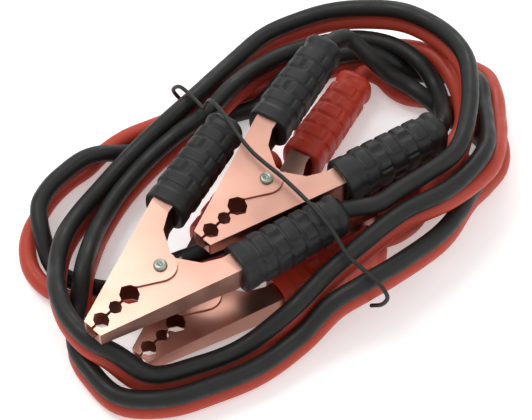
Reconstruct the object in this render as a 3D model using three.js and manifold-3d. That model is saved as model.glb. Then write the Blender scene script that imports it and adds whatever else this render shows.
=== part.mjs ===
import * as THREE from 'three';
import { mergeVertices } from 'three/addons/utils/BufferGeometryUtils.js';
import Module from 'manifold-3d';

const wasm = await Module();
wasm.setup();

// Car jumper cable set, coiled and tied: millimetres, +Z up.
// The origin is on the floor, under the middle of the clamps and the tie.

// Clearances
const GAP = 0.3;
const CHEEK_GAP = 0.5;

// Clamp arm: a stamped channel, u runs from the jaws to the grips, v to the side
const JAW_LENGTH = 46;
const ARM_BEND = 24;
const ARM_REACH = 56;
const SHEET = 1.1;
const CHANNEL_WIDTH = 18.8;
const JAW_TAPER = 0.55;
const TIP_WIDTH = 5.6;
const BEND_OFFSET = 30;
const ARM_WIDTH = 11.4;
const HUMP_RADIUS = 8.4;
const GRIP_ANGLE = THREE.MathUtils.degToRad(13.3);

// Grips
const GRIP_FRONT = 27;
const GRIP_LENGTH = 63;
const GRIP_FRONT_WIDTH = 22.8;
const GRIP_REAR_WIDTH = 19.4;
const GRIP_REAR_HEIGHT = 19.4;
const COLLAR_SHARE = 0.1;
const POCKET_CLEARANCE = 0.4;
const GRIP_WALL = 1.8;
const GRIP_FRONT_HEIGHT = CHANNEL_WIDTH + 2 * (POCKET_CLEARANCE + GRIP_WALL);
const LEAD_SEAT = 12;
const LEAD_BORE_CLEARANCE = 0.9;

// Rivet and spring
const RIVET_RADIUS = 2.4;
const RIVET_HEAD_RADIUS = 4.3;
const RIVET_HEAD_HEIGHT = 1.3;
const SPRING_WIRE = 1.6;
const SPRING_TURNS = 3;
const SPRING_PITCH = 2.1;
const SPRING_LEG = 15;

// Leads: a black and a red cable that run side by side
const LEAD_DIAMETER = 9.4;
const LEAD_SPACING = LEAD_DIAMETER + 4 * GAP;
const LEAD_SIDES = 8;
const LEAD_STEP = 19;
const FLOOR_CLEARANCE = 1.1;

// Tie
const TIE_DIAMETER = 2.2;
const TIE_STEPS = 34;

// Heights of the two layers of clamps
const LOWER_CLAMPS = GRIP_FRONT_HEIGHT / 2 + 0.1;
const UPPER_CLAMPS = LOWER_CLAMPS + GRIP_FRONT_HEIGHT + LEAD_DIAMETER + 2 * GAP + 2;
const CLAMP_TURN = THREE.MathUtils.degToRad(46.5);

const clamps = [
  { name: 'black_front', x: -51.5, y: -56.2, z: UPPER_CLAMPS, grip: 'black' },
  { name: 'black_back', x: 0.2, y: -4.6, z: UPPER_CLAMPS, grip: 'black' },
  { name: 'red_back', x: 18, y: -0.7, z: LOWER_CLAMPS, grip: 'red' },
  { name: 'red_front', x: -30.7, y: -51.1, z: LOWER_CLAMPS, grip: 'red' },
];

// Route of the pair: x, y, height of the middle between the cables, and lean in degrees.
// Lean 0 has the black cable above the red one, +90 has it on the left of the way ahead.
const pairRoute = [
  [77, 84, 10.5, 0], [84, 80.5, 10.2, -20], [91, 77.5, 9, -45], [98, 74.5, 6.7, -70], [106, 71, 5.2, -88],
  [114, 65, 5.2, -88], [120.5, 54.5, 7, -75],
  [122.5, 39, 10, -35], [115.5, 23, 14, -10], [107, 10, 18, 0], [91, -18, 23, 0], [64, -42, 26, 0],
  [47, -54, 27, 0], [34, -61, 23, 0], [18, -74, 13, 0], [-3, -90, 10, 0], [-26, -101, 10, 0],
  [-48, -108.4, 10, 0], [-72, -107, 10, 0], [-87, -92, 10, 0], [-94, -80, 10, 0], [-95.5, -67, 10, 0],
  [-94, -55, 12.6, 0], [-92, -42, 22, 0], [-90, -28, 19, 0], [-86, -6, 10, 0], [-76.5, 14, 10, 0],
  [-62, 31, 15, 0], [-47, 44, 19.7, 0], [-32, 58, 19.7, 0], [-19, 75, 19.5, 0], [-6, 93, 13, 0],
  [10, 106, 10, 0], [29, 113, 10, 0], [51, 117, 10, 0], [73, 112, 14.5, -40], [88, 100, 18.4, -80],
  [97, 86, 15.4, -90], [100, 66, 19, -90], [97, 44, 28.5, -90], [84, 27, 28.8, -90], [60, 8, 28.8, -90],
  [20, -14, 28.8, -90], [-20, -33, 28.8, -90], [-48, -45, 28.8, -90], [-65, -48.5, 16.5, -80],
  [-82, -45, 5.2, -90], [-99, -40.5, 5, -90], [-110, -34, 5, -90], [-116.5, -25, 5.4, -85],
  [-119.5, -14, 7.4, -58], [-120, -4, 9.3, -30], [-118.5, 6, 10, -5], [-113.5, 17, 10, 0], [-105.5, 27, 10, 0], [-96, 35.5, 10, 0], [-89, 40.5, 9.7, -24],
  [-82, 45.5, 7.6, -57], [-73, 52, 5, -88], [-57, 60, 4.9, -90],
  [-38, 69, 4.9, -90], [-20, 77, 4.9, -90], [-7, 82, 5, -88], [2, 87, 7.5, -50], [10, 91.5, 9.5, -15],
  [20, 97.5, 10, 0],
  [33, 102, 10, 0], [45, 106, 10, 0], [57, 107, 10, 0], [70, 105.5, 8, -40], [79, 105.4, 5.4, -75], [88, 105, 4.9, -90],
  [103, 103, 5.5, -80], [116, 95, 10.5, -60], [120, 79, 18, -50], [120, 63, 22, -50], [119, 44, 30, -45],
  [114, 18, 39, -30], [93, -6, 42, -5], [69, -18, 39, 0], [48, -34, 34, 0], [32, -48, 31, 0],
  [14, -65, 24, 0], [-11, -80, 11, 0], [-34, -90, 10, 0], [-58, -96.6, 12.8, 0], [-75, -91, 25, 0],
  [-87, -86, 30.5, 0], [-97, -74, 30, 0], [-103, -59, 28, 0], [-105.5, -42, 21.5, 0], [-104, -24, 19.7, 0],
  [-98, -2, 11, 0], [-86, 17, 10, 0], [-71, 34, 15, 0], [-55, 50, 19.7, 0], [-41, 66, 19.7, 0],
  [-18, 99, 12, 0], [0, 119, 11, 0], [19, 127, 14, 0], [36, 129, 19, 0], [53, 127, 24, 0],
  [74, 121, 29, 0], [88, 112, 31, 0], [99, 99, 34, 0], [106, 83, 37, 0], [107, 64, 41, 0],
  [104, 37, 45, 0], [96, 12.5, 47.5, 0],
];
// Route of the tie, from the outer cables on the left over the clamps to those on the right.
// The heights of its middle stretch are measured from the clamps' top.
const tieLeft = [
  [-47, 77, 14], [-50, 76, 23], [-46, 72, 31], [-38, 62, 33.5], [-33, 54, 36], [-31, 48, 47],
];
const tieCrest = [
  [-28.5, 43, -1.5], [-23, 34, 2], [-8, 9, 2.5], [10, -10, 2.5], [25, -28, 2], [33, -38, -1.5],
];
const tieRight = [
  [40, -46, 49], [48, -51, 43], [55, -57, 41], [60, -61, 34], [58, -60, 25], [53, -56, 17],
];
// Each cable leaves the pair at both ends and runs into a grip of its own.
const blackStart = [[44, 98, 40], [56, 92, 31], [67, 88, 21]];
const redStart = [[54.5, 96.5, 11.5], [63, 95, 9], [70, 89, 6]];
const blackEnd = [[81, 1, 51.5], [67, -8, 50], [56, -15, 48]];
const redEnd = [[85, 4, 34], [77, -7, 21], [68, -10.5, 13]];

const metals = { roughness: 0.28, metalness: 1 };
const copper = new THREE.MeshStandardMaterial({ color: 0xdda58e, ...metals });
const zinc = new THREE.MeshStandardMaterial({ color: 0x9ea39a, roughness: 0.4, metalness: 1 });
const springSteel = new THREE.MeshStandardMaterial({ color: 0x6f6a66, roughness: 0.35, metalness: 1 });
const gripBlack = new THREE.MeshStandardMaterial({ color: 0x2f2e2c, roughness: 0.6, metalness: 0 });
const gripRed = new THREE.MeshStandardMaterial({ color: 0xa83226, roughness: 0.5, metalness: 0 });
const jacketBlack = new THREE.MeshStandardMaterial({ color: 0x34332f, roughness: 0.55, metalness: 0 });
const jacketRed = new THREE.MeshStandardMaterial({ color: 0xa63a2c, roughness: 0.5, metalness: 0 });

// Solids: a closed geometry in and out of the boolean library

function toSolid(geometry) {
  const bare = geometry.clone();
  bare.deleteAttribute('normal');
  bare.deleteAttribute('uv');
  const merged = mergeVertices(bare, 1e-4);
  const vertProperties = Float32Array.from(merged.attributes.position.array);
  const triVerts = Uint32Array.from(merged.index.array);
  return new wasm.Manifold(new wasm.Mesh({ numProp: 3, vertProperties, triVerts }));
}

function toGeometry(solid) {
  const data = solid.getMesh();
  const geometry = new THREE.BufferGeometry();
  geometry.setAttribute('position', new THREE.BufferAttribute(Float32Array.from(data.vertProperties), 3));
  geometry.setIndex(Array.from(data.triVerts));
  geometry.computeVertexNormals();
  return geometry;
}

// A flat outline in u and v, drawn up to a height that is centred on the sheet plane
function plate(points, height) {
  const shape = new THREE.Shape(points.map(([u, v]) => new THREE.Vector2(u, v)));
  const geometry = new THREE.ExtrudeGeometry(shape, { depth: height, bevelEnabled: false });
  geometry.translate(0, 0, -height / 2);
  return geometry;
}

// Clamp arm

function alongGrip(u, v, distance) {
  return [u + distance * Math.cos(GRIP_ANGLE), v + distance * Math.sin(GRIP_ANGLE)];
}

function humpArc() {
  const arc = [];
  const steps = 9;
  for (let i = 0; i <= steps; i += 1) {
    const angle = THREE.MathUtils.degToRad(8 - (128 * i) / steps);
    arc.push([HUMP_RADIUS * Math.cos(angle), HUMP_RADIUS * Math.sin(angle)]);
  }
  return arc;
}

// Half of each of the three cut-outs between the jaws: place, half length and depth
const jawHollows = [[25, 5, 5.2], [15.5, 3.2, 3.2], [6, 3.8, 4.2]];
const JAW_GAP = 0.5;

function jawEdge() {
  const edge = [];
  for (const [fromTip, half, depth] of jawHollows) {
    const place = JAW_LENGTH - fromTip;
    edge.push([-place + half, JAW_GAP]);
    edge.push([-place + half * 0.75, JAW_GAP + depth * 0.55]);
    edge.push([-place, JAW_GAP + depth]);
    edge.push([-place - half * 0.75, JAW_GAP + depth * 0.55]);
    edge.push([-place - half, JAW_GAP]);
  }
  edge.push([-JAW_LENGTH, JAW_GAP]);
  return edge;
}

const spine = [[-JAW_LENGTH, TIP_WIDTH], [ARM_BEND, BEND_OFFSET]];
const SPINE_ANGLE = Math.atan2(BEND_OFFSET - TIP_WIDTH, ARM_BEND + JAW_LENGTH);
const armEnd = ARM_REACH - ARM_BEND;

function taper(geometry) {
  const position = geometry.attributes.position;
  const slope = (1 - JAW_TAPER) / (ARM_BEND + JAW_LENGTH);
  for (let i = 0; i < position.count; i += 1) {
    const scale = 1 - slope * (ARM_BEND - position.getX(i));
    position.setZ(i, position.getZ(i) * scale);
  }
  return geometry;
}

function channelArm(width, side) {
  const inner = [ARM_BEND, BEND_OFFSET - ARM_WIDTH];
  const front = [...spine, inner, [HUMP_RADIUS + 7, HUMP_RADIUS + 5], ...humpArc(), ...jawEdge()];
  const rear = [
    spine[1],
    inner,
    alongGrip(...inner, armEnd),
    alongGrip(...spine[1], armEnd),
  ];
  const drop = SHEET / Math.cos(SPINE_ANGLE);
  const far = -HUMP_RADIUS * 4;
  const start = -JAW_LENGTH * 1.2;
  const startV = TIP_WIDTH - drop + (start + JAW_LENGTH) * Math.tan(SPINE_ANGLE);
  const frontHollow = [[start, far], [start, startV], [ARM_BEND, BEND_OFFSET - drop], [ARM_BEND, far]];
  const rearDrop = SHEET / Math.cos(GRIP_ANGLE);
  const back = [ARM_BEND, BEND_OFFSET - rearDrop];
  const rearHollow = [
    [ARM_BEND, far],
    back,
    alongGrip(...back, armEnd * 2),
    alongGrip(ARM_BEND, far, armEnd * 2),
  ];
  const inside = width - 2 * SHEET;
  const frontSolid = toSolid(taper(plate(front, width)));
  const rearSolid = toSolid(plate(rear, width));
  let solid = frontSolid.add(rearSolid);
  solid = solid.subtract(toSolid(taper(plate(frontHollow, inside))));
  solid = solid.subtract(toSolid(plate(rearHollow, inside)));
  const hole = new THREE.CylinderGeometry(RIVET_RADIUS + GAP, RIVET_RADIUS + GAP, width * 2, 20);
  hole.rotateX(Math.PI / 2);
  solid = solid.subtract(toSolid(hole));
  const geometry = toGeometry(solid);
  return side > 0 ? geometry : mirrored(geometry);
}

function mirrored(geometry) {
  geometry.scale(1, -1, 1);
  const index = geometry.index.array;
  for (let i = 0; i < index.length; i += 3) {
    [index[i], index[i + 1]] = [index[i + 1], index[i]];
  }
  geometry.computeVertexNormals();
  return geometry;
}

// Grip: a tapering sleeve of rounded section with a pocket for the arm and a bore for the lead

// A rounded ring with a flat facet on top, below and on both sides
function ringPoints(width, height, along, sides) {
  const points = [];
  const rounding = 0.7;
  const reach = 2 * Math.cos(Math.PI / sides) ** rounding;
  for (let i = 0; i < sides; i += 1) {
    const angle = (2 * Math.PI * (i + 0.5)) / sides;
    const c = Math.cos(angle);
    const s = Math.sin(angle);
    const y = (Math.sign(c) * Math.abs(c) ** rounding * width) / reach;
    const z = (Math.sign(s) * Math.abs(s) ** rounding * height) / reach;
    points.push([along, y, z]);
  }
  return points;
}

function loft(rings) {
  const sides = rings[0].length;
  const positions = rings.flat(2);
  const index = [];
  for (let r = 0; r + 1 < rings.length; r += 1) {
    for (let i = 0; i < sides; i += 1) {
      const a = r * sides + i;
      const b = r * sides + ((i + 1) % sides);
      index.push(a, b, a + sides, b, b + sides, a + sides);
    }
  }
  const last = (rings.length - 1) * sides;
  for (let i = 1; i + 1 < sides; i += 1) {
    index.push(0, i + 1, i);
    index.push(last, last + i, last + i + 1);
  }
  const geometry = new THREE.BufferGeometry();
  geometry.setAttribute('position', new THREE.Float32BufferAttribute(positions, 3));
  geometry.setIndex(index);
  return geometry;
}

// Share of the length, and how far the surface stands out there
const gripProfile = [
  [0, 1], [COLLAR_SHARE, 1], [0.13, 0.94], [0.2, 0.94], [0.24, 1], [0.84, 1], [0.87, 0.9], [0.9, 1.04],
  [0.97, 1.04], [1, 0.92],
];
const GRIP_SIDES = 16;
const CENTRE_OFFSET = BEND_OFFSET - ARM_WIDTH / 2;

function gripSleeve(side) {
  const rings = gripProfile.map(([share, stand]) => {
    const width = THREE.MathUtils.lerp(GRIP_FRONT_WIDTH, GRIP_REAR_WIDTH, share) * stand;
    const fall = Math.max(share - COLLAR_SHARE, 0) / (1 - COLLAR_SHARE);
    const height = THREE.MathUtils.lerp(GRIP_FRONT_HEIGHT, GRIP_REAR_HEIGHT, fall) * Math.min(stand, 1);
    return ringPoints(width, height, share * GRIP_LENGTH, GRIP_SIDES);
  });
  let solid = toSolid(loft(rings));
  const depth = armEnd;
  const room = 2 * POCKET_CLEARANCE;
  const pocket = new THREE.BoxGeometry(depth * 2, ARM_WIDTH + room, CHANNEL_WIDTH + room);
  solid = solid.subtract(toSolid(pocket));
  const boreRadius = LEAD_DIAMETER / 2 + LEAD_BORE_CLEARANCE;
  const bore = new THREE.CylinderGeometry(boreRadius, boreRadius, LEAD_SEAT * 2 + 2, 16);
  bore.rotateZ(Math.PI / 2);
  bore.translate(GRIP_LENGTH, 0, 0);
  solid = solid.subtract(toSolid(bore));
  const geometry = toGeometry(solid);
  const frontV = CENTRE_OFFSET + (GRIP_FRONT - ARM_BEND) * Math.tan(GRIP_ANGLE);
  geometry.rotateZ(GRIP_ANGLE);
  geometry.translate(GRIP_FRONT, frontV, 0);
  return side > 0 ? geometry : mirrored(geometry);
}

// Rivet and torsion spring

const pivotScale = 1 - ((1 - JAW_TAPER) * ARM_BEND) / (ARM_BEND + JAW_LENGTH);
const PIVOT_TILT = ((1 - JAW_TAPER) / (ARM_BEND + JAW_LENGTH)) * (CHANNEL_WIDTH / 2) * RIVET_HEAD_RADIUS;
const pivotHalf = (CHANNEL_WIDTH / 2) * pivotScale + PIVOT_TILT + GAP;

function rivetGeometry() {
  const top = pivotHalf + RIVET_HEAD_HEIGHT;
  const profile = [
    [0, -top], [RIVET_HEAD_RADIUS * 0.8, -top], [RIVET_HEAD_RADIUS, -pivotHalf - 0.4],
    [RIVET_HEAD_RADIUS, -pivotHalf], [RIVET_RADIUS, -pivotHalf], [RIVET_RADIUS, pivotHalf],
    [RIVET_HEAD_RADIUS, pivotHalf], [RIVET_HEAD_RADIUS, pivotHalf + 0.4],
    [RIVET_HEAD_RADIUS * 0.8, top], [0, top],
  ];
  const geometry = new THREE.LatheGeometry(profile.map(([r, z]) => new THREE.Vector2(r, z)), 20);
  geometry.rotateX(Math.PI / 2);
  return geometry;
}

function circle(radius, sides) {
  const shape = new THREE.Shape();
  for (let i = 0; i < sides; i += 1) {
    const angle = (2 * Math.PI * i) / sides;
    const x = radius * Math.cos(angle);
    const y = radius * Math.sin(angle);
    if (i === 0) {
      shape.moveTo(x, y);
    } else {
      shape.lineTo(x, y);
    }
  }
  shape.closePath();
  return shape;
}

function tube(points, radius, sides, steps) {
  const extrudePath = new THREE.CatmullRomCurve3(points, false, 'centripetal');
  return new THREE.ExtrudeGeometry(circle(radius, sides), { steps, extrudePath, bevelEnabled: false });
}

function springGeometry() {
  const radius = RIVET_RADIUS + GAP + SPRING_WIRE / 2 + 0.4;
  const perTurn = 10;
  const count = SPRING_TURNS * perTurn;
  const turns = SPRING_TURNS - 0.25;
  const startAngle = Math.PI / 2 + 0.6;
  const points = [];
  for (let i = 0; i <= count; i += 1) {
    const angle = startAngle + (2 * Math.PI * turns * i) / count;
    const z = SPRING_PITCH * turns * (i / count - 0.5);
    points.push(new THREE.Vector3(radius * Math.cos(angle), radius * Math.sin(angle), z));
  }
  const first = points[0];
  const last = points[count];
  const firstAlong = new THREE.Vector3(SPRING_LEG, -0.2 * SPRING_LEG + radius, first.z);
  const lastAngle = startAngle + 2 * Math.PI * turns;
  const lastAlong = new THREE.Vector3(-Math.sin(lastAngle), Math.cos(lastAngle), 0);
  points.unshift(firstAlong, first.clone().lerp(firstAlong, 0.35));
  const end = last.clone().addScaledVector(lastAlong, SPRING_LEG);
  points.push(last.clone().lerp(end, 0.35), end);
  return tube(points, SPRING_WIRE / 2, 5, count + 6);
}

// Clamp assembly

const group = new THREE.Group();

function add(parent, name, geometry, material) {
  const mesh = new THREE.Mesh(geometry, material);
  mesh.name = name;
  parent.add(mesh);
  return mesh;
}

const innerWidth = CHANNEL_WIDTH - 2 * (SHEET + CHEEK_GAP);
for (const clamp of clamps) {
  const place = new THREE.Group();
  place.position.set(clamp.x, clamp.y, clamp.z);
  place.rotation.z = CLAMP_TURN;
  const gripMaterial = clamp.grip === 'red' ? gripRed : gripBlack;
  add(place, `${clamp.name}_outer_jaw_arm`, channelArm(CHANNEL_WIDTH, 1), copper);
  add(place, `${clamp.name}_inner_jaw_arm`, channelArm(innerWidth, -1), copper);
  add(place, `${clamp.name}_outer_grip`, gripSleeve(1), gripMaterial);
  add(place, `${clamp.name}_inner_grip`, gripSleeve(-1), gripMaterial);
  add(place, `${clamp.name}_rivet`, rivetGeometry(), zinc);
  add(place, `${clamp.name}_spring`, springGeometry(), springSteel);
  group.add(place);
}

// Leads

function gripRear(clamp, side, inset) {
  const distance = GRIP_LENGTH - inset;
  const frontV = CENTRE_OFFSET + (GRIP_FRONT - ARM_BEND) * Math.tan(GRIP_ANGLE);
  const [u, v] = alongGrip(GRIP_FRONT, frontV, distance);
  const local = new THREE.Vector3(u, side * v, 0);
  local.applyAxisAngle(new THREE.Vector3(0, 0, 1), CLAMP_TURN);
  return local.add(new THREE.Vector3(clamp.x, clamp.y, clamp.z));
}

const middlePoints = pairRoute.map(([x, y, z]) => new THREE.Vector3(x, y, z));
const middle = new THREE.CatmullRomCurve3(middlePoints, false, 'centripetal');

function pairPoints(sign) {
  return pairRoute.map(([x, y, z, lean], i) => {
    const ahead = middle.getTangent(i / (pairRoute.length - 1));
    const left = new THREE.Vector3(-ahead.y, ahead.x, 0).normalize();
    const angle = THREE.MathUtils.degToRad(lean);
    const up = new THREE.Vector3().crossVectors(ahead, left);
    const offset = left.multiplyScalar(Math.sin(angle)).addScaledVector(up, Math.cos(angle));
    return new THREE.Vector3(x, y, z + FLOOR_CLEARANCE).addScaledVector(offset, (sign * LEAD_SPACING) / 2);
  });
}

function lead(sign, startClamp, startSide, start, end, endClamp, endSide) {
  const toVector = ([x, y, z]) => new THREE.Vector3(x, y, z);
  const points = [
    gripRear(startClamp, startSide, LEAD_SEAT),
    gripRear(startClamp, startSide, -2),
    ...start.map(toVector),
    ...pairPoints(sign),
    ...end.map(toVector),
    gripRear(endClamp, endSide, -2),
    gripRear(endClamp, endSide, LEAD_SEAT),
  ];
  const length = new THREE.CatmullRomCurve3(points, false, 'centripetal').getLength();
  return tube(points, LEAD_DIAMETER / 2, LEAD_SIDES, Math.round(length / LEAD_STEP));
}

const [blackFront, blackBack, redBack, redFront] = clamps;
add(group, 'black_lead', lead(1, blackBack, 1, blackStart, blackEnd, blackFront, -1), jacketBlack);
add(group, 'red_lead', lead(-1, redBack, 1, redStart, redEnd, redFront, -1), jacketRed);

const clampTop = UPPER_CLAMPS + GRIP_FRONT_HEIGHT / 2;
const crest = tieCrest.map(([x, y, z]) => [x, y, z + clampTop]);
const tiePath = [...tieLeft, ...crest, ...tieRight].map(([x, y, z]) => new THREE.Vector3(x, y, z));
add(group, 'tie', tube(tiePath, TIE_DIAMETER / 2, 8, TIE_STEPS), jacketBlack);

// Everything is moved so that the origin lies on the floor under the middle of the clamps and the tie
group.updateMatrixWorld(true);
const footprint = new THREE.Box3();
for (const child of group.children.filter(({ name }) => !name.endsWith('lead'))) {
  footprint.expandByObject(child, true);
}
const originShift = footprint.getCenter(new THREE.Vector3()).setZ(footprint.min.z);
for (const child of group.children) {
  child.position.sub(originShift);
}

export default group;
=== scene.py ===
# %% [markdown]
# # A coiled set of car jumper cables
#
# Two rubber-covered leads, one black and one red, are coiled side by side with their four
# copper-plated clamps in the middle. A thin tie holds the bundle. The set was first made as
# plain solids, and they give the frame: metres, with +Z up and the floor at zero. Each step
# below dresses one kind of piece, and leaves it where its solid is.

# %% Load the frame
from math import copysign, cos, pi, radians, sin, tan

import bmesh
import bpy
from mathutils import Matrix, Vector


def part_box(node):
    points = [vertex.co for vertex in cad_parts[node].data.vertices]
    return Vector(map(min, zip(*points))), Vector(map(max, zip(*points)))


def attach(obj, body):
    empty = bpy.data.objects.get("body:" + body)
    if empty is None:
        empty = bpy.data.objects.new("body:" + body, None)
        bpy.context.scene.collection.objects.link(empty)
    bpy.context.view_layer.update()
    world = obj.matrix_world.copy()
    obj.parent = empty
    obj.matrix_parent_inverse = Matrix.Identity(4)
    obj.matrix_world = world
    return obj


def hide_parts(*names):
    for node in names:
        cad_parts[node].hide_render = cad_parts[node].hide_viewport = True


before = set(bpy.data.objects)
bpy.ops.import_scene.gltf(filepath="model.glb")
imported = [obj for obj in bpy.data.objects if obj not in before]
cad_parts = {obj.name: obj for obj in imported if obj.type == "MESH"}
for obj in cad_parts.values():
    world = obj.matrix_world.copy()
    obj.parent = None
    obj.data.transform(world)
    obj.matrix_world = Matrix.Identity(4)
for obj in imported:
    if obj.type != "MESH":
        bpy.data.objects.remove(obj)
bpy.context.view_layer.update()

# %% [markdown]
# ## Where the clamps lie
#
# Each clamp turns about its rivet, so the rivet's middle is the best place to measure
# everything from. Typing the four places again would let them drift from the solids, so
# they are read from the frame.

# %% Find the pivots
CLAMPS = ["black_front", "black_back", "red_back", "red_front"]

PIVOT = {}
for name in CLAMPS:
    low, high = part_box(f"{name}_rivet")
    PIVOT[name] = (low + high) / 2
    print(name, "pivot", [round(v, 4) for v in PIVOT[name]])

# The cables were drawn round this place of the first pivot, so the difference moves them
DRAWN_PIVOT = Vector((-0.0515, -0.0562, 0.0469))
SHIFT = PIVOT["black_front"] - DRAWN_PIVOT
print("shift of the cables", [round(v, 4) for v in SHIFT])

# %% [markdown]
# ## Camera
#
# The photograph looks down on the coil from the front. The camera comes first, because all
# that follows is compared with the picture. A long lens from a metre away keeps the grips
# nearly parallel, as they are there. The lens follows from the scale of the picture.

# %% Place the camera
CAMERA_HEIGHT, CAMERA_DISTANCE = radians(56), 1.0
AIM_HEIGHT = 0.020
PIXELS_PER_METRE, PHOTO_WIDTH, SENSOR_WIDTH = 1930, 532, 36

camera_data = bpy.data.cameras.new("camera")
camera_data.sensor_width = SENSOR_WIDTH
camera_data.lens = PIXELS_PER_METRE * CAMERA_DISTANCE / PHOTO_WIDTH * SENSOR_WIDTH
camera = bpy.data.objects.new("camera", camera_data)
aim = SHIFT + Vector((0, 0, AIM_HEIGHT))
camera.location = aim + CAMERA_DISTANCE * Vector((0, -cos(CAMERA_HEIGHT), sin(CAMERA_HEIGHT)))
camera.rotation_euler = (pi / 2 - CAMERA_HEIGHT, 0, 0)
bpy.context.collection.objects.link(camera)
bpy.context.scene.camera = camera
print("lens", round(camera_data.lens, 1), "camera at", [round(v, 3) for v in camera.location])

# %% [markdown]
# ## How a finish is made
#
# Every finish here is a Principled shader with plain numbers on its sockets. Real plate and
# rubber are never quite even, so noise in the object's own space varies one socket between
# two values. Noise needs no picture and no unwrapping, and it stays put when a clamp turns.


# %% Make a plain material
METAL_SPECULAR, RUBBER_SPECULAR = 0.5, 0.32


def shader_material(name, color, roughness, metallic=0.0):
    material = bpy.data.materials.new(name)
    material.use_nodes = True
    shader = material.node_tree.nodes["Principled BSDF"]
    shader.inputs["Base Color"].default_value = (*color, 1)
    shader.inputs["Roughness"].default_value = roughness
    shader.inputs["Metallic"].default_value = metallic
    specular = METAL_SPECULAR if metallic else RUBBER_SPECULAR
    shader.inputs["Specular IOR Level"].default_value = specular
    return material


def add_node(material, kind, **values):
    node = material.node_tree.nodes.new(kind)
    for key, value in values.items():
        node.inputs[key].default_value = value
    return node


print("specular of rubber", RUBBER_SPECULAR)


# %% Vary a finish with noise
NOISE_SPAN = (0.35, 0.65)
BUMP_DETAIL = 3.0


def object_noise(material, scale, detail):
    place = material.node_tree.nodes.new("ShaderNodeTexCoord")
    noise = add_node(material, "ShaderNodeTexNoise", Scale=scale, Detail=detail)
    material.node_tree.links.new(place.outputs["Object"], noise.inputs["Vector"])
    return noise


def noise_between(material, socket, low, high, scale, detail=4.0):
    """Noise drives one socket between two values, which are numbers or colours."""
    nodes, links = material.node_tree.nodes, material.node_tree.links
    noise = object_noise(material, scale, detail)
    ramp = nodes.new("ShaderNodeValToRGB")
    for element, position, value in zip(ramp.color_ramp.elements, NOISE_SPAN, (low, high)):
        element.position = position
        element.color = (*value, 1) if isinstance(value, tuple) else (value, value, value, 1)
    links.new(noise.outputs["Fac"], ramp.inputs["Fac"])
    links.new(ramp.outputs["Color"], nodes["Principled BSDF"].inputs[socket])


def noise_bump(material, scale, distance, strength):
    """Noise gives the surface small heights, which are too fine to be modelled."""
    nodes, links = material.node_tree.nodes, material.node_tree.links
    noise = object_noise(material, scale, BUMP_DETAIL)
    bump = add_node(material, "ShaderNodeBump", Strength=strength, Distance=distance)
    links.new(noise.outputs["Fac"], bump.inputs["Height"])
    links.new(bump.outputs["Normal"], nodes["Principled BSDF"].inputs["Normal"])


print("noise runs between", NOISE_SPAN)

# %% [markdown]
# ## The metals
#
# The jaws are steel with a thin copper plate, which looks salmon pink in soft light and
# brown where it faces the dark cables. A low, uneven roughness gives broad soft highlights.
# The rivet is dull zinc, and the spring is darker bare steel.

# %% Make the metals
COPPER = shader_material("copper_plate", (0.80, 0.47, 0.33), 0.30, 1.0)
noise_between(COPPER, "Base Color", (0.58, 0.315, 0.245), (0.67, 0.385, 0.305), 22, detail=1.5)
noise_between(COPPER, "Roughness", 0.30, 0.40, 60)
noise_bump(COPPER, 60, 0.0002, 0.05)

ZINC = shader_material("rivet_zinc", (0.34, 0.37, 0.32), 0.38, 1.0)
noise_between(ZINC, "Roughness", 0.30, 0.50, 400)

SPRING = shader_material("spring_steel", (0.32, 0.29, 0.26), 0.35, 1.0)
noise_between(SPRING, "Roughness", 0.28, 0.45, 300)
print("metals", COPPER.name, ZINC.name, SPRING.name)

# %% [markdown]
# ## The rubbers
#
# Grips and jackets are soft, moulded rubber-like plastic. Their black is nearly black, so it
# reads by its sheen alone, and a lower specular keeps that sheen as dull as in the picture.
# The grips are a little glossier than the jackets, and their red is a little stronger.

# %% Make the rubbers
GRAIN_SCALE, GRAIN_DEPTH, GRAIN_STRENGTH = 900, 0.00004, 0.06

GRIP = {
    "black": shader_material("grip_black", (0.010, 0.010, 0.010), 0.46),
    "red": shader_material("grip_red", (0.50, 0.042, 0.020), 0.40),
}
noise_between(GRIP["black"], "Roughness", 0.40, 0.56, 150)
noise_between(GRIP["red"], "Roughness", 0.34, 0.50, 150)

JACKET = {
    "black": shader_material("jacket_black", (0.010, 0.010, 0.0095), 0.46),
    "red": shader_material("jacket_red", (0.42, 0.045, 0.024), 0.42),
}
noise_between(JACKET["black"], "Roughness", 0.42, 0.58, 120)
noise_between(JACKET["red"], "Roughness", 0.38, 0.54, 120)
for material in (*GRIP.values(), *JACKET.values()):
    noise_bump(material, GRAIN_SCALE, GRAIN_DEPTH, GRAIN_STRENGTH)

TIE = shader_material("tie_black", (0.018, 0.018, 0.017), 0.5)
noise_between(TIE, "Roughness", 0.45, 0.60, 300)
print("rubbers", [m.name for m in (*GRIP.values(), *JACKET.values(), TIE)])

# %% [markdown]
# ## Curves through chosen points
#
# A cable is easiest to draw as a list of points that it passes through. A centripetal
# Catmull-Rom curve goes through each of them without loops or cusps, also where they are
# unevenly spaced, and it's the same curve that the solids were swept along.


# %% Draw a curve through points
def curve_point(points, t):
    """The place at share t of the list of points, from 0 at its start to 1 at its end."""
    last = len(points) - 1
    place = min(max(t, 0.0), 1.0) * last
    i = min(int(place), last - 1)
    w = place - i
    b, c = points[i], points[i + 1]
    a = points[i - 1] if i > 0 else 2 * b - c
    d = points[i + 2] if i + 2 <= last else 2 * c - b
    ab, bc, cd = ((q - p).length_squared ** 0.25 for p, q in ((a, b), (b, c), (c, d)))
    start = ((b - a) / ab - (c - a) / (ab + bc) + (c - b) / bc) * bc
    end = ((c - b) / bc - (d - b) / (bc + cd) + (d - c) / cd) * bc
    return (b + start * w + (3 * (c - b) - 2 * start - end) * w**2
            + (2 * (b - c) + start + end) * w**3)


def curve_line(points, per_span=6):
    count = (len(points) - 1) * per_span
    return [curve_point(points, i / count) for i in range(count + 1)]


def line_length(line):
    return sum((q - p).length for p, q in zip(line, line[1:]))


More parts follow.
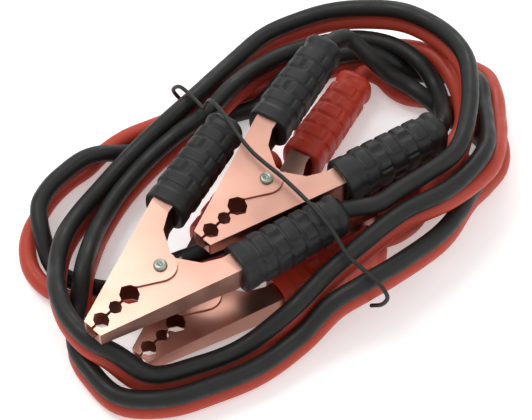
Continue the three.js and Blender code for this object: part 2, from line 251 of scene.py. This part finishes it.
straight = [Vector((0, 0, 0)), Vector((1, 0, 0)), Vector((3, 0, 0))]
print("length through three points", round(line_length(curve_line(straight)), 3))

# %% [markdown]
# ## Round wires
#
# The cables, the tie and the springs all keep one round section along their whole length. A
# tube could be built ring by ring, but Blender gives a curve a round bevel and closes its
# ends, which takes fewer lines and leaves the centreline easy to change.


# %% Turn a line into a round wire
WIRE_RESOLUTION, CABLE_RESOLUTION = 3, 4


def round_wire(name, line, diameter, material, resolution=WIRE_RESOLUTION):
    curve = bpy.data.curves.new(name, "CURVE")
    curve.dimensions = "3D"
    curve.bevel_depth = diameter / 2
    curve.bevel_resolution = resolution
    curve.use_fill_caps = True
    spline = curve.splines.new("POLY")
    spline.points.add(len(line) - 1)
    for point, co in zip(spline.points, line):
        point.co = (*co, 1)
    spline.use_smooth = True
    curve.materials.append(material)
    wire = bpy.data.objects.new(name, curve)
    bpy.context.collection.objects.link(wire)
    return wire


print("bevel resolution of a thin wire and a cable", WIRE_RESOLUTION, CABLE_RESOLUTION)

# %% [markdown]
# ## Places on a clamp
#
# All four clamps are the same and point the same way, so each of their pieces is made once
# in a clamp's own frame and then placed. In that frame the jaws lie at negative x, and the
# two grips run back from the pivot and spread to the sides.

# %% Place things on a clamp
CLAMP_TURN = radians(46.5)
GRIP_ANGLE = radians(13.3)
ARM_BEND, BEND_OFFSET, ARM_WIDTH = 0.024, 0.030, 0.0114
GRIP_FRONT, GRIP_LENGTH = 0.027, 0.063


def clamp_matrix(clamp):
    return Matrix.Translation(PIVOT[clamp]) @ Matrix.Rotation(CLAMP_TURN, 4, "Z")


def grip_matrix(clamp, side):
    """The grip's own place: x runs back along it from the middle of its front face."""
    sideways = BEND_OFFSET - ARM_WIDTH / 2 + (GRIP_FRONT - ARM_BEND) * tan(GRIP_ANGLE)
    place = Matrix.Translation((GRIP_FRONT, side * sideways, 0))
    return clamp_matrix(clamp) @ place @ Matrix.Rotation(side * GRIP_ANGLE, 4, "Z")


def free_half(clamp):
    """The half with no lead in its grip, which is the one that turns."""
    return "outer" if clamp.endswith("front") else "inner"


def body_name(clamp, half):
    return f"{clamp}_free_half" if half == free_half(clamp) else "bundle"


for clamp in CLAMPS:
    print(clamp, "turns its", free_half(clamp), "half")

# %% [markdown]
# ## The route of the two leads
#
# The two cables run side by side for three turns, so one route serves both. Each row is x,
# y, the height of the middle between the cables, and their lean in degrees: at 0 the black
# one lies over the red one, and at -90 they lie flat, side by side. The rows were chosen
# from the picture. The stretches that the clamps hide are a guess, and so is the order
# in which the turns join.

# %% List the route
PAIR_ROUTE = [
    (0.077, 0.084, 0.0105, 0), (0.084, 0.0805, 0.0102, -20), (0.091, 0.0775, 0.009, -45),
    (0.098, 0.0745, 0.0067, -70), (0.106, 0.071, 0.0052, -88), (0.114, 0.065, 0.0052, -88),
    (0.1205, 0.0545, 0.007, -75), (0.1225, 0.039, 0.01, -35), (0.1155, 0.023, 0.014, -10),
    (0.107, 0.01, 0.018, 0), (0.091, -0.018, 0.023, 0), (0.064, -0.042, 0.026, 0),
    (0.047, -0.054, 0.027, 0), (0.034, -0.061, 0.023, 0), (0.018, -0.074, 0.013, 0),
    (-0.003, -0.09, 0.01, 0), (-0.026, -0.101, 0.01, 0), (-0.048, -0.1084, 0.01, 0),
    (-0.072, -0.107, 0.01, 0), (-0.087, -0.092, 0.01, 0), (-0.094, -0.08, 0.01, 0),
    (-0.0955, -0.067, 0.01, 0), (-0.094, -0.055, 0.0126, 0), (-0.092, -0.042, 0.022, 0),
    (-0.09, -0.028, 0.019, 0), (-0.086, -0.006, 0.01, 0), (-0.0765, 0.014, 0.01, 0),
    (-0.062, 0.031, 0.015, 0), (-0.047, 0.044, 0.0197, 0), (-0.032, 0.058, 0.0197, 0),
    (-0.019, 0.075, 0.0195, 0), (-0.006, 0.093, 0.013, 0), (0.01, 0.106, 0.01, 0),
    (0.029, 0.113, 0.01, 0), (0.051, 0.117, 0.01, 0), (0.073, 0.112, 0.0145, -40),
    (0.088, 0.1, 0.0184, -80), (0.097, 0.086, 0.0154, -90), (0.1, 0.066, 0.019, -90),
    (0.097, 0.044, 0.0285, -90), (0.084, 0.027, 0.0288, -90), (0.06, 0.008, 0.0288, -90),
    (0.02, -0.014, 0.0288, -90), (-0.02, -0.033, 0.0288, -90), (-0.048, -0.045, 0.0288, -90),
    (-0.065, -0.0485, 0.0165, -80), (-0.082, -0.045, 0.0052, -90), (-0.099, -0.0405, 0.005, -90),
    (-0.11, -0.034, 0.005, -90), (-0.1165, -0.025, 0.0054, -85), (-0.1195, -0.014, 0.0074, -58),
    (-0.12, -0.004, 0.0093, -30), (-0.1185, 0.006, 0.01, -5), (-0.1135, 0.017, 0.01, 0),
    (-0.1055, 0.027, 0.01, 0), (-0.096, 0.0355, 0.01, 0), (-0.089, 0.0405, 0.0097, -24),
    (-0.082, 0.0455, 0.0076, -57), (-0.073, 0.052, 0.005, -88), (-0.057, 0.06, 0.0049, -90),
    (-0.038, 0.069, 0.0049, -90), (-0.02, 0.077, 0.0049, -90), (-0.007, 0.082, 0.005, -88),
    (0.002, 0.087, 0.0075, -50), (0.01, 0.0915, 0.0095, -15), (0.02, 0.0975, 0.01, 0),
    (0.033, 0.102, 0.01, 0), (0.045, 0.106, 0.01, 0), (0.057, 0.107, 0.01, 0),
    (0.07, 0.1055, 0.008, -40), (0.079, 0.1054, 0.0054, -75), (0.088, 0.105, 0.0049, -90),
    (0.103, 0.103, 0.0055, -80), (0.116, 0.095, 0.0105, -60), (0.12, 0.079, 0.018, -50),
    (0.12, 0.063, 0.022, -50), (0.119, 0.044, 0.03, -45), (0.114, 0.018, 0.039, -30),
    (0.093, -0.006, 0.042, -5), (0.069, -0.018, 0.039, 0), (0.048, -0.034, 0.034, 0),
    (0.032, -0.048, 0.031, 0), (0.014, -0.065, 0.024, 0), (-0.011, -0.08, 0.011, 0),
    (-0.034, -0.09, 0.01, 0), (-0.058, -0.0966, 0.0128, 0), (-0.075, -0.091, 0.025, 0),
    (-0.087, -0.086, 0.0305, 0), (-0.097, -0.074, 0.03, 0), (-0.103, -0.059, 0.028, 0),
    (-0.1055, -0.042, 0.0215, 0), (-0.104, -0.024, 0.0197, 0), (-0.098, -0.002, 0.011, 0),
    (-0.086, 0.017, 0.01, 0), (-0.071, 0.034, 0.015, 0), (-0.055, 0.05, 0.0197, 0),
    (-0.041, 0.066, 0.0197, 0), (-0.018, 0.099, 0.012, 0), (0, 0.119, 0.011, 0),
    (0.019, 0.127, 0.014, 0), (0.036, 0.129, 0.019, 0), (0.053, 0.127, 0.024, 0),
    (0.074, 0.121, 0.029, 0), (0.088, 0.112, 0.031, 0), (0.099, 0.099, 0.034, 0),
    (0.106, 0.083, 0.037, 0), (0.107, 0.064, 0.041, 0), (0.104, 0.037, 0.045, 0),
    (0.096, 0.0125, 0.0475, 0),
]
BLACK_START = [
    (0.044, 0.098, 0.04), (0.056, 0.092, 0.031), (0.067, 0.088, 0.021),
]
RED_START = [
    (0.0545, 0.0965, 0.0115), (0.063, 0.095, 0.009), (0.07, 0.089, 0.006),
]
BLACK_END = [
    (0.081, 0.001, 0.0515), (0.067, -0.008, 0.05), (0.056, -0.015, 0.048),
]
RED_END = [
    (0.085, 0.004, 0.034), (0.077, -0.007, 0.021), (0.068, -0.0105, 0.013),
]

middle = [Vector(row[:3]) for row in PAIR_ROUTE]
print("rows of the route", len(PAIR_ROUTE), "length", round(line_length(curve_line(middle)), 3))

# %% [markdown]
# ## Black over red
#
# Each cable keeps half the spacing from the middle of the pair, square to the way ahead, so
# the two never cut into each other where the pair twists. Left of the way ahead and up from
# it are the two directions that the lean mixes.

# %% Set the pair apart
LEAD_DIAMETER = 0.0094
PAIR_GAP = 0.0012
LEAD_SPACING = LEAD_DIAMETER + PAIR_GAP
FLOOR_CLEARANCE = 0.0011
TANGENT_STEP = 1e-4


def pair_points(sign):
    points = []
    for i, (x, y, z, lean) in enumerate(PAIR_ROUTE):
        t = i / (len(middle) - 1)
        ahead = curve_point(middle, t + TANGENT_STEP) - curve_point(middle, t - TANGENT_STEP)
        ahead.normalize()
        left = Vector((-ahead.y, ahead.x, 0)).normalized()
        offset = left * sin(radians(lean)) + ahead.cross(left) * cos(radians(lean))
        points.append(Vector((x, y, z + FLOOR_CLEARANCE)) + offset * (sign * LEAD_SPACING / 2))
    return points


print("lowest point of the red centreline", round(min(p.z for p in pair_points(-1)), 4))

# %% [markdown]
# ## Lay the leads
#
# A bevelled curve is the plainest way to make a round cable, and it keeps its centreline for
# measuring. Each lead starts in the left grip of a back clamp and ends in the right grip of a
# front clamp, and it runs straight for a little way where it leaves the rubber.

# %% Lay the two leads
LEAD_SEAT, LEAD_STRAIGHT = 0.012, 0.002


def lay_lead(color, sign, start_clamp, start, end, end_clamp):
    first, last = grip_matrix(start_clamp, 1), grip_matrix(end_clamp, -1)
    rear = [GRIP_LENGTH - LEAD_SEAT, GRIP_LENGTH + LEAD_STRAIGHT]
    route = [Vector(p) + SHIFT for p in start] + [p + SHIFT for p in pair_points(sign)]
    route += [Vector(p) + SHIFT for p in end]
    route = [first @ Vector((x, 0, 0)) for x in rear] + route
    route += [last @ Vector((x, 0, 0)) for x in reversed(rear)]
    line = curve_line(route)
    lead = round_wire(f"{color}_cable", line, LEAD_DIAMETER, JACKET[color], CABLE_RESOLUTION)
    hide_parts(f"{color}_lead")
    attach(lead, "bundle")


lay_lead("black", 1, "black_back", BLACK_START, BLACK_END, "black_front")
lay_lead("red", -1, "red_back", RED_START, RED_END, "red_front")

# %% [markdown]
# ## The tie
#
# A thin black tie crosses the bundle, and its two ends bend down past the outer cables. It
# is a wire like the leads. The middle of its route is measured from the top of the upper
# clamps, because it lies on them.

# %% Lay the tie
TIE_DIAMETER = 0.0022
GRIP_FRONT_HEIGHT = 0.0232

TIE_LEFT = [
    (-0.047, 0.077, 0.014), (-0.05, 0.076, 0.023), (-0.046, 0.072, 0.031), (-0.038, 0.062, 0.0335),
    (-0.033, 0.054, 0.036), (-0.031, 0.048, 0.047),
]
# Heights from the clamps' top
TIE_CREST = [
    (-0.0285, 0.043, -0.0015), (-0.023, 0.034, 0.002), (-0.008, 0.009, 0.0025),
    (0.01, -0.01, 0.0025), (0.025, -0.028, 0.002), (0.033, -0.038, -0.0015),
]
TIE_RIGHT = [
    (0.04, -0.046, 0.049), (0.048, -0.051, 0.043), (0.055, -0.057, 0.041), (0.06, -0.061, 0.034),
    (0.058, -0.06, 0.025), (0.053, -0.056, 0.017),
]

clamp_top = Vector((0, 0, PIVOT["black_front"].z - SHIFT.z + GRIP_FRONT_HEIGHT / 2))
tie_points = [Vector(p) for p in TIE_LEFT] + [Vector(p) + clamp_top for p in TIE_CREST]
tie_points += [Vector(p) for p in TIE_RIGHT]
tie_line = curve_line([p + SHIFT for p in tie_points], per_span=8)
tie = round_wire("thin_tie", tie_line, TIE_DIAMETER, TIE)
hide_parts("tie")
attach(tie, "bundle")
print("tie length", round(line_length(tie_line), 3))

# %% [markdown]
# ## The jaw arms
#
# Each arm is one stamped channel of plated steel. Its solid already has the true outline,
# the hollows between the teeth and the folded sides, so it isn't modelled again. A copy gets
# one clean face for each flat, and then a bevel rounds its edges, because a fold in real
# sheet always has a radius, and that is the thin bright line along it.

# %% Round the folds of the arms
FOLD_RADIUS, FOLD_SEGMENTS, FOLD_ROUNDNESS = 0.0005, 2, 0.5
WELD_DISTANCE = 1e-6
FLAT_ANGLE, FOLD_ANGLE = radians(2), radians(35)

for clamp in CLAMPS:
    for half in ("outer", "inner"):
        node = f"{clamp}_{half}_jaw_arm"
        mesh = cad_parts[node].data.copy()
        mesh.materials.clear()
        mesh.materials.append(COPPER)
        bm = bmesh.new()
        bm.from_mesh(mesh)
        bmesh.ops.remove_doubles(bm, verts=bm.verts, dist=WELD_DISTANCE)
        bmesh.ops.dissolve_limit(bm, angle_limit=FLAT_ANGLE, verts=bm.verts, edges=bm.edges)
        sharp = [e for e in bm.edges if e.is_manifold and e.calc_face_angle(0) > FOLD_ANGLE]
        bmesh.ops.bevel(bm, geom=sharp, offset=FOLD_RADIUS, segments=FOLD_SEGMENTS,
                        profile=FOLD_ROUNDNESS, affect="EDGES", clamp_overlap=True)
        for face in bm.faces:
            face.smooth = False
        bm.to_mesh(mesh)
        bm.free()
        arm = bpy.data.objects.new(f"{clamp}_{half}_copper_arm", mesh)
        bpy.context.collection.objects.link(arm)
        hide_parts(node)
        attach(arm, body_name(clamp, half))
    print(clamp, "arms, faces in the last", len(mesh.polygons))

# %% [markdown]
# ## The pattern of the grips
#
# A grip is a moulded rubber sleeve with a smooth collar in front, rows of staggered raised
# blocks along its middle, and a rounded ring before its rear end. The blocks show in the
# outline, so they are real geometry and not a bump. A function says how high the skin stands
# at each place along and around the grip, which keeps the rows even.

# %% Say where the blocks stand
BLOCK_DEPTH = 0.0009
GROOVE_INSET = 0.0004
BLOCK_ROWS, BLOCKS_ROUND = 5, 6
BLOCK_START, BLOCK_END = 0.17, 0.83
ROW_EDGE, SIDE_EDGE = (0.04, 0.17), (0.04, 0.13)


def smooth_step(low, high, value):
    t = min(max((value - low) / (high - low), 0), 1)
    return t * t * (3 - 2 * t)


def block_height(share, around):
    """1 on a raised block and 0 in a groove, for a place along and around the grip."""
    if not BLOCK_START <= share <= BLOCK_END:
        return 0
    along = (share - BLOCK_START) / (BLOCK_END - BLOCK_START) * BLOCK_ROWS
    row = min(int(along), BLOCK_ROWS - 1)
    turn = around * BLOCKS_ROUND + 0.5 * (row % 2)
    from_row = min(along - row, row + 1 - along)
    from_side = min(turn % 1, 1 - turn % 1)
    return smooth_step(*ROW_EDGE, from_row) * smooth_step(*SIDE_EDGE, from_side)


highest = max(block_height(0.5, k / 48) for k in range(48))
print("a block stands", BLOCK_DEPTH * highest, "above its groove")

# %% Shape the collar, the blocks and the rear ring
COLLAR_EDGE = (0.105, 0.13)
RING_MIDDLE, RING_HALF, RING_HEIGHT = 0.925, 0.05, 0.0010
REAR_EDGE, REAR_INSET = (0.965, 1), 0.0022


def grip_relief(share, around):
    """How far the skin stands in from the outer shape of the grip, in metres."""
    if share < BLOCK_START:
        return GROOVE_INSET * smooth_step(*COLLAR_EDGE, share)
    if share <= BLOCK_END:
        return GROOVE_INSET - BLOCK_DEPTH * block_height(share, around)
    ring = 1 - min(abs(share - RING_MIDDLE) / RING_HALF, 1) ** 2
    return GROOVE_INSET - RING_HEIGHT * max(ring, 0) + REAR_INSET * smooth_step(*REAR_EDGE, share)


print("inset of the collar, the groove and the rear ring",
      [round(grip_relief(share, 0), 5) for share in (0, 0.15, RING_MIDDLE)])

# %% [markdown]
# ## The sleeve of a grip
#
# The sleeve is lofted: rings of points, from inside its front opening, along its skin and
# into the hole that the cable leaves by. A loft gives clean rows of faces that follow the
# blocks. The rings are rounded rectangles, because the sleeve is moulded over a channel, and
# they fall a little in width and height towards the rear.

# %% Draw the rings of a sleeve
RING_POINTS, RING_STEPS = 96, 110
ROUNDING = 0.7
CHANNEL_WIDTH = 0.0188
GRIP_FRONT_WIDTH, GRIP_REAR_WIDTH, GRIP_REAR_HEIGHT = 0.0228, 0.0194, 0.0194
COLLAR_SHARE = 0.1
LIP_INSET, LIP_SHARE = 0.0006, 0.015
OPENING_WIDTH, OPENING_HEIGHT = ARM_WIDTH + 0.0012, CHANNEL_WIDTH + 0.0010
# How deep in the opening each ring lies, and how far it widens there
FRONT_OPENING = [(0.008, 0.0), (0.0006, 0.0), (0.0, 0.0004)]
# How deep in the rear hole each ring lies, and how far it stands off the cable
REAR_HOLE = [(0.0, 0.0016), (0.0005, 0.0005), (0.006, 0.0003)]
AROUND = [k / RING_POINTS for k in range(RING_POINTS)]


def ring_point(width, height, around):
    angle = 2 * pi * around
    c, s = cos(angle), sin(angle)
    return (copysign(abs(c) ** ROUNDING, c) * width / 2,
            copysign(abs(s) ** ROUNDING, s) * height / 2)


def skin_ring(share):
    fall = max(share - COLLAR_SHARE, 0) / (1 - COLLAR_SHARE)
    width = GRIP_FRONT_WIDTH + (GRIP_REAR_WIDTH - GRIP_FRONT_WIDTH) * share
    height = GRIP_FRONT_HEIGHT + (GRIP_REAR_HEIGHT - GRIP_FRONT_HEIGHT) * fall
    lip = LIP_INSET * (1 - smooth_step(0, LIP_SHARE, share))
    ring = []
    for around in AROUND:
        inset = grip_relief(share, around) + lip
        skin = ring_point(width - 2 * inset, height - 2 * inset, around)
        ring.append((share * GRIP_LENGTH, *skin))
    return ring


def grip_rings():
    rings = []
    for depth, wider in FRONT_OPENING:
        size = (OPENING_WIDTH + 2 * wider, OPENING_HEIGHT + 2 * wider)
        rings.append([(depth, *ring_point(*size, around)) for around in AROUND])
    rings += [skin_ring(step / RING_STEPS) for step in range(RING_STEPS + 1)]
    for depth, off in REAR_HOLE:
        radius = LEAD_DIAMETER / 2 + off
        rings.append([(GRIP_LENGTH - depth, radius * cos(2 * pi * around),
                       radius * sin(2 * pi * around)) for around in AROUND])
    return rings


print("rings of a sleeve", len(grip_rings()), "with", RING_POINTS, "points each")

# %% [markdown]
# ## From rings to a mesh
#
# A list of rings isn't a surface yet. Each ring is joined to the next one by four-sided
# faces, and the first and the last ring are closed with a cap, so that no gap lets light in.
# The same function serves the sleeves and the rivets.


# %% Join rings into a closed mesh
def loft_mesh(name, rings, matrix, material):
    count = len(rings[0])
    vertices = [matrix @ Vector(p) for ring in rings for p in ring]
    faces = []
    for r in range(len(rings) - 1):
        for k in range(count):
            a, b = r * count + k, r * count + (k + 1) % count
            faces.append((a, b, b + count, a + count))
    faces.append(tuple(reversed(range(count))))
    faces.append(tuple(range((len(rings) - 1) * count, len(rings) * count)))
    mesh = bpy.data.meshes.new(name)
    mesh.from_pydata(vertices, [], faces)
    bm = bmesh.new()
    bm.from_mesh(mesh)
    bmesh.ops.recalc_face_normals(bm, faces=bm.faces)
    bm.to_mesh(mesh)
    bm.free()
    mesh.shade_smooth()
    mesh.materials.append(material)
    shape = bpy.data.objects.new(name, mesh)
    bpy.context.collection.objects.link(shape)
    return shape


print("a sleeve will have", (len(grip_rings()) - 1) * RING_POINTS + 2, "faces")

# %% [markdown]
# ## Eight grips from one
#
# The eight grips in the photograph look alike, so all are lofted from the same rings. Each
# is put at its own place, and it rides on the half of the clamp that it covers, so that it
# turns with its arm.

# %% Make the eight grips
for clamp in CLAMPS:
    color = clamp.split("_")[0]
    for half, side in (("outer", 1), ("inner", -1)):
        name = f"{clamp}_{half}_sleeve"
        grip = loft_mesh(name, grip_rings(), grip_matrix(clamp, side), GRIP[color])
        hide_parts(f"{clamp}_{half}_grip")
        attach(grip, body_name(clamp, half))
    print(clamp, "grips, faces each", len(grip.data.polygons))

# %% [markdown]
# ## The rivets
#
# A rivet with a small dimple and a rolled ring joins the two arms. It could be cut from a
# cylinder, but it's quicker to turn it: a profile of radius and height, swept round the pivot
# as rings, makes the dimple and the rolled edge in one go.

# %% Turn a rivet
RIVET_SIDES = 48
RIVET_RADIUS = 0.0024
# Radius, and depth below the top of the rivet
RIVET_HEAD = [(0.0001, 0.0009), (0.0009, 0.0009), (0.0012, 0.0001), (0.0023, 0),
              (0.0030, 0.0003), (0.0034, 0.0009), (0.0034, 0.0016), (RIVET_RADIUS, 0.0016)]


def rivet_profile(half_height):
    """Radius and height from the middle of one end face to that of the other."""
    top = [(r, half_height - depth) for r, depth in RIVET_HEAD]
    return [(r, -z) for r, z in top] + list(reversed(top))


def rivet_rings(height):
    return [[(r * cos(2 * pi * k / RIVET_SIDES), r * sin(2 * pi * k / RIVET_SIDES), z)
             for k in range(RIVET_SIDES)] for r, z in rivet_profile(height / 2)]


print("widest radius of a rivet", max(r for r, depth in RIVET_HEAD))

# %% [markdown]
# ## The springs
#
# A torsion spring winds round each rivet between the cheeks, and its two legs push the grips
# apart. Little of it shows, so it isn't modelled coil by coil: a helix with two straight ends
# is drawn as one round wire.

# %% Wind a spring
SPRING_WIRE, SPRING_TURNS, SPRING_PITCH, SPRING_LEG = 0.0016, 2.75, 0.0021, 0.015
RIVET_CLEARANCE, COIL_CLEARANCE = 0.0003, 0.0004
SPRING_RADIUS = RIVET_RADIUS + RIVET_CLEARANCE + SPRING_WIRE / 2 + COIL_CLEARANCE
SPRING_START = pi / 2 + 0.6
COIL_POINTS = 60
LEG_BEND, LEG_DROP = 0.35, 0.2


def spring_points():
    points = []
    for i in range(COIL_POINTS + 1):
        angle = SPRING_START + 2 * pi * SPRING_TURNS * i / COIL_POINTS
        z = SPRING_PITCH * SPRING_TURNS * (i / COIL_POINTS - 0.5)
        points.append(Vector((SPRING_RADIUS * cos(angle), SPRING_RADIUS * sin(angle), z)))
    first, last = points[0], points[-1]
    leg = Vector((SPRING_LEG, SPRING_RADIUS - LEG_DROP * SPRING_LEG, first.z))
    turn = SPRING_START + 2 * pi * SPRING_TURNS
    end = last + SPRING_LEG * Vector((-sin(turn), cos(turn), 0))
    return [leg, first.lerp(leg, LEG_BEND), *points, last.lerp(end, LEG_BEND), end]


spring_line = curve_line(spring_points(), per_span=2)
print("length of a spring's wire", round(line_length(spring_line), 3))

# %% [markdown]
# ## Rivets and springs in their clamps
#
# Both sit at the pivot, so one loop places them. They ride on the bundle, with the half of
# the clamp that stays still. A rivet's height is read from its solid, so that its two heads
# lie on the cheeks of the channel.

# %% Put a rivet and a spring in each clamp
for clamp in CLAMPS:
    low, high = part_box(f"{clamp}_rivet")
    rings = rivet_rings(high.z - low.z)
    rivet = loft_mesh(f"{clamp}_hollow_rivet", rings, clamp_matrix(clamp), ZINC)
    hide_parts(f"{clamp}_rivet")
    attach(rivet, "bundle")
    coil = [clamp_matrix(clamp) @ p for p in spring_line]
    spring = round_wire(f"{clamp}_torsion_spring", coil, SPRING_WIRE, SPRING)
    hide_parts(f"{clamp}_spring")
    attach(spring, "bundle")
    print(clamp, "rivet height", round(high.z - low.z, 4))

# %% [markdown]
# ## The floor
#
# The photograph has a plain white ground. A large pale square stands for it. It glows a
# little, so that it stays white beside the dark rubber and its shadows stay faint.

# %% Lay the floor
FLOOR_HALF, FLOOR_DROP, FLOOR_GLOW = 3, 0.0005, 0.3

corners = [(x * FLOOR_HALF, y * FLOOR_HALF, 0) for x, y in ((-1, -1), (1, -1), (1, 1), (-1, 1))]
floor_mesh = bpy.data.meshes.new("floor")
floor_mesh.from_pydata(corners, [], [(0, 1, 2, 3)])
FLOOR = shader_material("pale_floor", (0.90, 0.90, 0.90), 0.9)
floor_shader = FLOOR.node_tree.nodes["Principled BSDF"]
floor_shader.inputs["Emission Color"].default_value = (1, 1, 1, 1)
floor_shader.inputs["Emission Strength"].default_value = FLOOR_GLOW
floor_mesh.materials.append(FLOOR)
floor = bpy.data.objects.new("floor", floor_mesh)
floor.location.z = -FLOOR_DROP
bpy.context.collection.objects.link(floor)
print("floor", 2 * FLOOR_HALF, "m wide")

# %% [markdown]
# ## The light
#
# The light is soft and comes from above and the left. Three large discs give the broad
# highlights along the cables and the plate, and an even pale world fills the shadows. The
# standard view keeps white as white, as a catalogue picture does.


# %% Set the lights
def area_light(name, place, size, power):
    data = bpy.data.lights.new(name, "AREA")
    data.shape = "DISK"
    data.size = size
    data.energy = power
    light = bpy.data.objects.new(name, data)
    light.location = place
    light.rotation_euler = (-Vector(place)).to_track_quat("-Z", "Y").to_euler()
    bpy.context.collection.objects.link(light)


area_light("key", place=(-0.6, 0.35, 1.4), size=0.8, power=9)
area_light("fill", place=(0.9, -0.5, 0.9), size=1.2, power=3)
area_light("rim", place=(0.1, 1.2, 0.7), size=0.6, power=4)

WORLD_STRENGTH = 0.72
world = bpy.data.worlds.new("studio")
world.use_nodes = True
world.node_tree.nodes["Background"].inputs["Color"].default_value = (1, 1, 1, 1)
world.node_tree.nodes["Background"].inputs["Strength"].default_value = WORLD_STRENGTH
bpy.context.scene.world = world
bpy.context.scene.view_settings.view_transform = "Standard"
